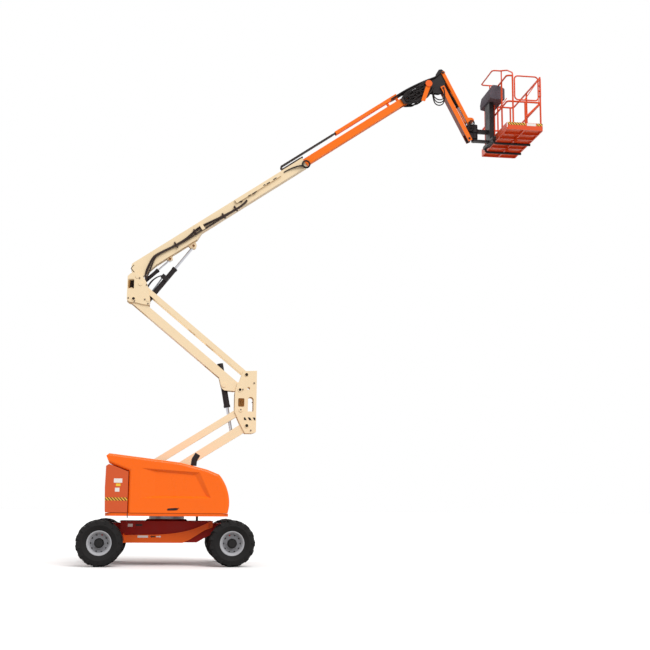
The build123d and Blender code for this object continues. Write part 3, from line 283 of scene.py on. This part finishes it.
# near-black sheet of painted shade, put where an opening shows only the shaded inside
DEEP_SHADE = coated("deep painted shade", srgb(44, 34, 30), rough=0.8, vary=0.2)
PIPE = FINISHES["steel_grey"]
FINISH_OF_NODE = {
    # jib's lower link: dark maroon painted shade on its underside, edges and inside
    "jib_lower": shade_between_sides("jib link painted shade", FLY_ORANGE, srgb(112, 34, 16), "jib_lower"),
    "fly_boom": nose_to_black("fly with dark nose", FLY_ORANGE),
}
SLOT_OF = {s["node"]: s["material_slot"] for s in record["subparts"]}
for node, obj in frame["nodes"].items():
    obj.data.materials.clear()
    obj.data.materials.append(FINISH_OF_NODE.get(node, FINISHES[SLOT_OF[node]]))


# ---------------------------------------------------------------- frames of the members
class Member:
    """A sloped member: a point by its distance along it, its rise square to it and its y."""

    def __init__(self, start, end):
        self.start = Vector(start)
        self.ahead = (Vector(end) - self.start).normalized()
        self.rise = Vector((-self.ahead.z, 0, self.ahead.x))

    def at(self, along, rise, y=0.0):
        return self.start + self.ahead * along + self.rise * rise + Vector((0, y, 0))


def joint_at(name):
    return Vector(joints[name]["pos_m"])


boom = Member(joint_at("boom_lift"), joint_at("boom_lift") + Vector(joints["telescope"]["axis"]))
lift = Member(joint_at("lift_cylinder_turn"),
              joint_at("lift_cylinder_turn") + Vector(joints["lift_cylinder_stroke"]["axis"]))


# ---------------------------------------------------------------- piece makers
def add_object(name, data, material, body):
    obj = bpy.data.objects.new(name, data)
    scene.collection.objects.link(obj)
    data.materials.append(material)
    if body:
        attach(obj, body)
    return obj


def line_of(name, points, radius):
    """A smooth round line through control points."""
    data = bpy.data.curves.new(name, "CURVE")
    data.dimensions = "3D"
    data.bevel_depth = radius
    data.bevel_resolution = 3
    data.use_fill_caps = True
    spline = data.splines.new("NURBS")
    spline.points.add(len(points) - 1)
    for slot, point in zip(spline.points, points):
        slot.co = (*point, 1)
    spline.order_u = min(4, len(points))
    spline.use_endpoint_u = True
    spline.resolution_u = 6
    return data


def hose(name, points, radius, body, material=HOSE):
    """A hose that is clipped to one body."""
    return add_object(name, line_of(name, points, radius), material, body)


def bridge(name, points, radius, material=HOSE):
    """A hose that runs from one body to another, baked to a still mesh tied to neither."""
    curve = bpy.data.objects.new(name, line_of(name, points, radius))
    scene.collection.objects.link(curve)
    graph = bpy.context.evaluated_depsgraph_get()
    mesh = bpy.data.meshes.new_from_object(curve.evaluated_get(graph))
    bpy.data.objects.remove(curve)
    mesh.materials.clear()
    obj = add_object(name, mesh, material, None)
    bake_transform(obj)
    return obj


def solid(name, corners, faces, material, body):
    mesh = bpy.data.meshes.new(name)
    mesh.from_pydata([tuple(c) for c in corners], [], faces)
    return add_object(name, mesh, material, body)


def band_faces(count):
    """The sides of a prism whose corners run round one end and then round the other."""
    return [(i, i + count, (i + 1) % count + count, (i + 1) % count) for i in range(count)]


def prism_faces(count):
    """Both ends and the sides of such a prism."""
    return [tuple(range(count)), tuple(range(2 * count - 1, count - 1, -1))] + band_faces(count)


BLOCK_FACES = [(0, 1, 2, 3), (7, 6, 5, 4), (0, 4, 5, 1), (1, 5, 6, 2), (2, 6, 7, 3), (3, 7, 4, 0)]


def block(name, low, high, material, body, member=None):
    """A box between two corners (along, y, rise) of a member, or of the object itself."""
    (a0, y0, r0), (a1, y1, r1) = low, high
    place = member.at if member else (lambda a, r, y: Vector((a, y, r)))
    corners = [place(a, r, y) for y in (y0, y1) for a, r in ((a0, r0), (a1, r0), (a1, r1), (a0, r1))]
    return solid(name, corners, BLOCK_FACES, material, body)


def disc(name, centre, radius, thick, material, body, sides=24):
    """A flat round head whose axis is along Y."""
    ring = [(math.cos(2 * math.pi * i / sides) * radius, math.sin(2 * math.pi * i / sides) * radius)
            for i in range(sides)]
    x, y, z = centre
    corners = [(x + a, y + side * thick / 2, z + b) for side in (-1, 1) for a, b in ring]
    return solid(name, corners, prism_faces(sides), material, body)


def loop(name, centre, radius, thick, body, turns=1.0, lean=0.0, material=HOSE, steps=16):
    """A coil of hose seen from the near side, its turns side by side along Y."""
    x, y, z = centre
    points = []
    for i in range(int(steps * turns) + 1):
        a = 2 * math.pi * i / steps
        points.append((x + radius * math.cos(a), y + lean * i / steps, z + radius * math.sin(a)))
    return hose(name, points, thick, body, material)


# ---------------------------------------------------------------- turntable and chassis
BODY_FACE = -1.12       # near face of the hood and the rear panel
SKIN = 0.0015           # how thick a plate or stripe is
panel_low, panel_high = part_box("counterweight")
block("hazard_band", (panel_low.x + 0.012, BODY_FACE - SKIN, 1.172), (panel_high.x - 0.006, BODY_FACE, 1.228),
      HAZARD, "turntable")
# x from and to, z from and to, look
PANEL_PLATES = [(-0.965, -0.815, 1.49, 1.565, PLATE_WHITE), (-0.925, -0.845, 1.43, 1.475, PLATE_YELLOW),
                (-0.94, -0.86, 1.33, 1.40, PLATE_WHITE)]
for i, (x0, x1, z0, z1, look) in enumerate(PANEL_PLATES):
    block(f"panel_plate_{i}", (x0, BODY_FACE - SKIN, z0), (x1, BODY_FACE, z1), look, "turntable")
block("hood_strap", (-0.712, -1.116, 0.862), (-0.698, -1.108, 0.958), CLIP, "turntable")
block("latch_handle", (0.003, -1.118, 1.008), (0.170, -1.102, 1.044), HOSE, "hood_near")
LATCH_PULL = [(0.165, -1.110, 1.026), (0.19, -1.113, 1.030), (0.212, -1.113, 1.048)]
hose("latch_pull", LATCH_PULL, 0.009, "hood_near")
hose("turntable_stop", [(0.56, -0.45, 0.902), (0.56, -0.45, 0.812)], 0.022, "turntable")
WEB_FACE = -0.5602
RAIL_FACE = -0.62
block("web_plate_a", (-0.705, WEB_FACE - SKIN, 0.70), (-0.615, WEB_FACE, 0.755), PLATE_WHITE, "chassis")
block("web_plate_b", (-0.56, WEB_FACE - SKIN, 0.715), (-0.44, WEB_FACE, 0.75), CLIP, "chassis")
block("rail_plate", (-0.52, RAIL_FACE - SKIN, 0.505), (-0.33, RAIL_FACE, 0.545), PLATE_WHITE, "chassis")


def arrow(name, tail, tip, z, half, material, body):
    """A flat arrow from tail to tip along X on the rail's face."""
    neck = tip + (half * 1.3 if tail > tip else -half * 1.3)
    ring = [(tail, z - half * 0.45), (neck, z - half * 0.45), (neck, z - half), (tip, z), (neck, z + half),
            (neck, z + half * 0.45), (tail, z + half * 0.45)]
    corners = [(x, y, h) for y in (RAIL_FACE - SKIN, RAIL_FACE) for x, h in ring]
    return solid(name, corners, prism_faces(len(ring)), material, body)


arrow("rail_arrow_back", -0.20, -0.29, 0.525, 0.024, HOSE, "chassis")
arrow("rail_arrow_ahead", -0.18, -0.09, 0.525, 0.024, PLATE_WHITE, "chassis")

# ---------------------------------------------------------------- uprights
UPRIGHT_FACE = -0.14    # near face of both uprights
BACK_PLATE = 0.10       # far plates' inside, seen through the openings
knee = joint_at("mid_level")
block("knee_hazard", (knee.x - 0.06, UPRIGHT_FACE - SKIN, knee.z + 0.105),
      (knee.x + 0.165, UPRIGHT_FACE, knee.z + 0.16), KNEE_HAZARD, "mid_upright")
block("knee_inside", (knee.x - 0.20, BACK_PLATE, knee.z + 0.34), (knee.x - 0.03, 0.105, knee.z + 0.56), SHADE,
      "mid_upright")
top = joint_at("top_level")
# painted shade: a dark sheet in the top upright's opening
block("top_inside", (top.x - 0.12, BACK_PLATE, top.z + 0.18), (top.x + 0.01, 0.105, top.z + 0.41), DEEP_SHADE,
      "top_upright")
block("top_inside_rim", (top.x - 0.12, 0.097, top.z + 0.18), (top.x - 0.085, BACK_PLATE, top.z + 0.41), SHADE,
      "top_upright")
# pin heads: pivot, body, radius
PINS = [("upper_link_turn", "mid_upright", 0.030), ("mid_level", "mid_upright", 0.030),
        ("upper_lift", "mid_upright", 0.026), ("top_level", "top_upright", 0.028)]
for pivot, body, radius in PINS:
    x, _, z = joint_at(pivot)
    disc(f"pin_{pivot}", (x, UPRIGHT_FACE - 0.005, z), radius, 0.010, BOLT, body, 20)
    disc(f"pin_hub_{pivot}", (x, UPRIGHT_FACE - 0.012, z), radius * 0.45, 0.006, CLIP, body, 6)
# small bolts: offset from the upright's lower pivot
KNEE_BOLTS = [(-0.121, 0.307), (0.08, -0.09), (-0.09, 0.70), (0.13, 0.83), (0.10, 0.45)]
for i, (dx, dz) in enumerate(KNEE_BOLTS):
    centre = (knee.x + dx, UPRIGHT_FACE - 0.006, knee.z + dz)
    disc(f"knee_bolt_{i}", centre, 0.016, 0.012, BOLT, "mid_upright", 6)
TOP_BOLTS = [(0.104, 0.41), (0.245, 0.282), (0.216, -0.008), (0.02, -0.045), (0.28, -0.09), (-0.10, 0.01)]
for i, (dx, dz) in enumerate(TOP_BOLTS):
    centre = (top.x + dx, UPRIGHT_FACE - 0.006, top.z + dz)
    disc(f"top_bolt_{i}", centre, 0.016, 0.012, BOLT, "top_upright", 6)

# ---------------------------------------------------------------- main boom hoses
SIDE = -0.11            # near face of the main boom
BUNDLE_R = 0.011        # hoses along the boom
HEAD_R = 0.016          # hoses over the nose and head
THIN_R = 0.010          # hoses of the rotator and the lift cylinder
# distance along the boom, rise, and how far the hoses stand apart
ROUTE = [(0.14, -0.082, 1.8), (0.275, 0.008, 2.0), (0.452, 0.132, 1.2), (0.549, 0.162, 0.5),
         (0.94, 0.112, 0.5), (1.24, 0.098, 0.8), (1.50, 0.140, 1.9), (1.67, 0.122, 1.9),
         (2.04, 0.103, 0.7), (2.38, 0.087, 0.4), (2.54, 0.088, 0.4), (2.66, 0.125, 0.4)]
# each hose's place in the bundle: out from the face, and up
STRANDS = [(0.012, 0.016), (0.014, -0.016), (0.036, 0.004), (0.034, -0.022), (0.030, 0.024)]
for i, (dy, dt) in enumerate(STRANDS):
    points = [boom.at(0.055, -0.195, -0.086 - dy * 0.4), boom.at(0.09, -0.150, -0.092 - dy * 0.4)]
    points += [boom.at(s, t + dt * wide, SIDE - dy) for s, t, wide in ROUTE]
    bridge(f"boom_hose_{i}", points, BUNDLE_R,
           WRAP)
block("hose_clamp", (1.57, SIDE - 0.060, 0.085), (1.635, SIDE, 0.20), FINISHES["cream_paint"], "main_boom",
      boom)
for i, (s, t) in enumerate(((0.96, 0.060), (2.075, 0.045), (1.42, 0.075), (2.36, 0.042))):
    block(f"hose_tie_{i}", (s, SIDE - 0.056, t), (s + 0.026, SIDE, t + 0.12), CLIP, "main_boom", boom)
CLIP_STEM = [(2.571, 0.157), (2.520, 0.186), (2.469, 0.214)]
hose("t_clip_stem", [boom.at(s, t, SIDE - 0.02) for s, t in CLIP_STEM], 0.012, "main_boom", CLIP)
# slots in the hose tray: along from and to, rise
TRAY = [(2.727, 2.785, 0.181), (2.815, 2.923, 0.176), (3.104, 3.150, 0.200), (3.175, 3.257, 0.192),
        (3.34, 3.42, 0.196)]
for i, (s0, s1, t) in enumerate(TRAY):
    block(f"tray_slot_{i}", (s0, SIDE - 0.0415, t - 0.009), (s1, SIDE - 0.030, t + 0.009), HOSE, "main_boom",
          boom)

# caps on the cylinders' eyes
for name in ("lift_cylinder_rod", "master_cylinder_rod"):
    eye_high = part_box(name)[1]
    centre = (eye_high.x - 0.045, -0.098, eye_high.z - 0.045)
    disc(f"eye_cap_{name}", centre, 0.026, 0.012, BRASS, "main_boom", 16)
# thin dark edge round the boom's rear end: painted shade of its open inside
mouth = [(-0.023, 0.205), (0.070, 0.234), (0.073, 0.224), (-0.010, 0.198), (0.000, 0.095), (-0.012, 0.092)]
corners = [boom.at(s, t, y) for y in (-0.1135, -0.1115) for s, t in mouth]
mouth_ends = [(0, 1, 2, 3), (0, 3, 4, 5), (9, 8, 7, 6), (11, 10, 9, 6)]
solid("boom_mouth_edge", corners, mouth_ends + band_faces(len(mouth)), DEEP_SHADE, "main_boom")

# carrier links
LINK_PITCH = 0.062
LINK_LENGTH = 0.05
RUNS = (("upper", 3.66, 4.98, 0.347, 0.378), ("lower", 3.66, 4.13, 0.282, 0.313))
for name, start, end, rise0, rise1 in RUNS:
    for i in range(int((end - start) / LINK_PITCH)):
        s = start + i * LINK_PITCH
        block(f"carrier_{name}_{i}", (s, -0.0475, rise0), (s + LINK_LENGTH, 0.0475, rise1),
              FINISHES["black_plastic"], "cable_carrier", boom)
# the loops where the carrier's hoses enter the boom
for i in range(3):
    y = -0.135 - 0.016 * i
    loop(f"boom_end_loop_{i}", boom.at(4.09, 0.11, y), 0.07 + 0.01 * (i % 2), BUNDLE_R, "main_boom")
    points = [boom.at(4.02, 0.11, y), boom.at(3.96, 0.17, y), boom.at(3.80, 0.21, -0.128),
              boom.at(3.62, 0.215, -0.122)]
    hose(f"boom_end_lead_{i}", points, BUNDLE_R, "main_boom")

# ---------------------------------------------------------------- fly nose and head hoses
head = joint_at("head_level")
jib_pin = joint_at("jib_link")
# top bundle, draped over the head and down to the jib
for i in range(6):
    y = -0.075 + 0.03 * i
    drop = 0.010 * (i % 3)
    points = [boom.at(6.42, 0.335, y), boom.at(6.62, 0.345 - drop, y), boom.at(6.86, 0.335 - drop, y - 0.01),
              boom.at(7.05, 0.315, y - 0.01), boom.at(7.20, 0.300 - drop, y), boom.at(7.36, 0.275, y),
              boom.at(7.54, 0.225, y), jib_pin + Vector((-0.02, y, 0.045 - drop)),
              jib_pin + Vector((-0.01, y * 0.8, 0.0))]
    bridge(f"head_hose_{i}", points, HEAD_R)
# side bundles that cross over one another along both faces of the nose; each row is one hose's rises
WAVES = [(0.31, 0.30, 0.28, 0.26), (0.29, 0.26, 0.30, 0.23), (0.27, 0.23, 0.25, 0.20),
         (0.24, 0.27, 0.20, 0.24), (0.21, 0.16, 0.22, 0.17), (0.18, 0.20, 0.14, 0.19),
         (0.15, 0.11, 0.17, 0.10), (0.12, 0.15, 0.08, 0.13), (0.09, 0.04, 0.11, 0.05),
         (0.06, 0.10, 0.02, 0.08), (0.03, -0.01, 0.05, -0.01), (0.01, 0.05, -0.02, 0.03)]
for side, sign in (("near", -1), ("far", 1)):
    for i, (a, b, c, d) in enumerate(WAVES):
        y = sign * (0.082 + 0.014 * (i % 3))
        in_clamp = 0.115 + 0.010 * (len(WAVES) - 1 - i)
        points = [boom.at(6.605, in_clamp, sign * 0.094), boom.at(6.68, 0.05 + 0.7 * a, y),
                  boom.at(6.78, b, y + sign * 0.012), boom.at(6.92, c, y), boom.at(7.08, d, y + sign * 0.010),
                  boom.at(7.24, (a + c) / 2, y), boom.at(7.33, 0.08 + 0.3 * (b + d), sign * 0.088)]
        bridge(f"nose_hose_{side}_{i}", points, HEAD_R)
    y0, y1 = sorted((sign * 0.083, sign * 0.112))
    block(f"nose_clamp_{side}", (6.575, y0, 0.103), (6.63, y1, 0.237), CLIP, "fly_boom", boom)
    for i in range(4):
        centre = boom.at(6.70 + 0.13 * i, 0.16 + 0.05 * (i % 2) - 0.03 * (i // 2), sign * 0.118)
        loop(f"nose_coil_{side}_{i}", centre, 0.052 + 0.008 * (i % 2), BUNDLE_R, "fly_boom", turns=1.5,
             lean=sign * 0.012)
disc("head_pin", (head.x, -0.122, head.z), 0.030, 0.060, BOLT, "level_head", 20)
disc("head_disc", (head.x, -0.150, head.z), 0.072, 0.014, FINISHES["orange_paint"], "level_head", 32)
BRACKET = [(7.225, 0.205), (7.300, 0.140), (6.98, -0.085), (6.92, -0.03)]
solid("head_bracket", [boom.at(s, t, y) for y in (-0.141, -0.131) for s, t in BRACKET], BLOCK_FACES,
      FINISHES["fly_orange"], "fly_boom")
# hoses that hang in a loop under the head
for i in range(3):
    y = -0.040 - 0.027 * i
    low = 9.39 + 0.05 * i
    points = [(head.x + 0.09, y, head.z - 0.10), (head.x + 0.11, y, head.z - 0.24), (5.27, y, low + 0.06),
              (5.34, y, low), (5.45, y, low + 0.01), (5.51, y, low + 0.10),
              (jib_pin.x + 0.01, y, jib_pin.z - 0.36)]
    hose(f"head_drop_{i}", points, 0.012, "level_head")

# ---------------------------------------------------------------- rotator hoses
rotator = joint_at("platform_rotate")
for i in range(5):
    centre = Vector((rotator.x - 0.108 + 0.008 * i, -0.095 - 0.005 * i, rotator.z + 0.06 + 0.030 * i))
    loop(f"rotator_coil_{i}", centre, 0.052 + 0.004 * (i % 2), THIN_R, "jib_end")

# ---------------------------------------------------------------- lift cylinder pipes and hoses
for i, y in enumerate((-0.052, 0.052)):
    points = [lift.at(0.10, 0.05, y), lift.at(0.25, 0.064, y), lift.at(0.45, 0.066, y),
              lift.at(0.53, 0.08, y)]
    hose(f"lift_pipe_{i}", points, 0.008, "lift_cylinder_barrel", PIPE)
for i in range(2):
    points = [lift.at(0.58, 0.085, -0.05), lift.at(0.50, 0.16, -0.055), lift.at(0.30, 0.20 + 0.03 * i, -0.05),
              lift.at(0.12, 0.15, -0.04), lift.at(0.03, 0.07, -0.035)]
    bridge(f"lift_hose_{i}", points, THIN_R)

# ---------------------------------------------------------------- platform
floor_low, floor_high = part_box("platform_floor")
PLATE_FACE = -0.915     # near face of the toe boards
TOE_TOP = 8.799
for i, (x0, x1) in enumerate(((floor_low.x + 0.02, 6.955), (7.185, floor_high.x - 0.012))):
    block(f"toe_hazard_{i}", (x0, PLATE_FACE - SKIN, TOE_TOP - 0.056), (x1, PLATE_FACE, TOE_TOP - 0.002),
          HAZARD, "platform")
block("toe_plate", (6.98, PLATE_FACE - SKIN, TOE_TOP - 0.062), (7.17, PLATE_FACE, TOE_TOP - 0.006),
      PLATE_WHITE, "platform")
for i, y in enumerate((-0.28, -0.12, 0.10, 0.26)):
    disc(f"console_knob_{i}", (6.47, y, 9.772), 0.020, 0.030, HOSE, "platform", 12)
block("console_strap", (6.392, -0.20, 9.55), (6.399, -0.14, 9.60), CLIP, "platform")
hose("console_brace", [(6.70, -0.50, 9.46), (6.62, -0.50, 9.35), (6.55, -0.50, 9.26)], 0.009, "platform",
     FINISHES["basket_orange"])

# ---------------------------------------------------------------- light and floor
scene.view_settings.view_transform = "Standard"


def background_rays(nodes, links):
    """1 for rays that meet the plain background: the camera's, and those off metal or through glass."""
    rays = nodes.new("ShaderNodeLightPath")
    seen = math_node(nodes, links, "MAXIMUM", rays.outputs["Is Camera Ray"], rays.outputs["Is Glossy Ray"])
    return math_node(nodes, links, "MAXIMUM", seen, rays.outputs["Is Transmission Ray"])


def show_by_ray(tree, lighting, seen, output):
    """One shader for the rays that light the object, another for those that meet the background."""
    choose = tree.nodes.new("ShaderNodeMixShader")
    tree.links.new(background_rays(tree.nodes, tree.links), choose.inputs[0])
    tree.links.new(lighting.outputs[0], choose.inputs[1])
    tree.links.new(seen.outputs[0], choose.inputs[2])
    tree.links.new(choose.outputs[0], tree.nodes[output].inputs["Surface"])


world = bpy.data.worlds.new("studio")
scene.world = world
world.use_nodes = True
soft = world.node_tree.nodes["Background"]
soft.inputs["Color"].default_value = (1, 0.995, 0.985, 1)
soft.inputs["Strength"].default_value = 0.72
white = world.node_tree.nodes.new("ShaderNodeBackground")
white.inputs["Color"].default_value = (1, 1, 1, 1)
white.inputs["Strength"].default_value = 1.0
show_by_ray(world.node_tree, soft, white, "World Output")


def sun(name, towards, strength, angle):
    """A broad sun; its angle is how wide it looks, in degrees."""
    data = bpy.data.lights.new(name, "SUN")
    data.energy = strength
    data.angle = math.radians(angle)
    lamp = bpy.data.objects.new(name, data)
    scene.collection.objects.link(lamp)
    lamp.rotation_euler = Vector(towards).to_track_quat("-Z", "Y").to_euler()


sun("key", towards=(-0.35, 0.78, -0.85), strength=2.0, angle=40)
sun("fill", towards=(0.45, -0.80, -0.40), strength=0.5, angle=60)

floor_mesh = bpy.data.meshes.new("floor")
floor_mesh.from_pydata([(-150, -60, 0), (150, -60, 0), (150, 400, 0), (-150, 400, 0)], [], [(0, 1, 2, 3)])
floor = bpy.data.objects.new("floor", floor_mesh)
scene.collection.objects.link(floor)
floor_look = coated("pale floor", (0.97, 0.97, 0.97, 1), rough=0.9, vary=0.003, shine=0.0)
dim = floor_look.node_tree.nodes.new("ShaderNodeBsdfDiffuse")
dim.inputs["Color"].default_value = (0.42, 0.41, 0.40, 1)
show_by_ray(floor_look.node_tree, dim, floor_look.node_tree.nodes["Principled BSDF"], "Material Output")
floor_mesh.materials.append(floor_look)
floor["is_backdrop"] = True

low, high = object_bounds()
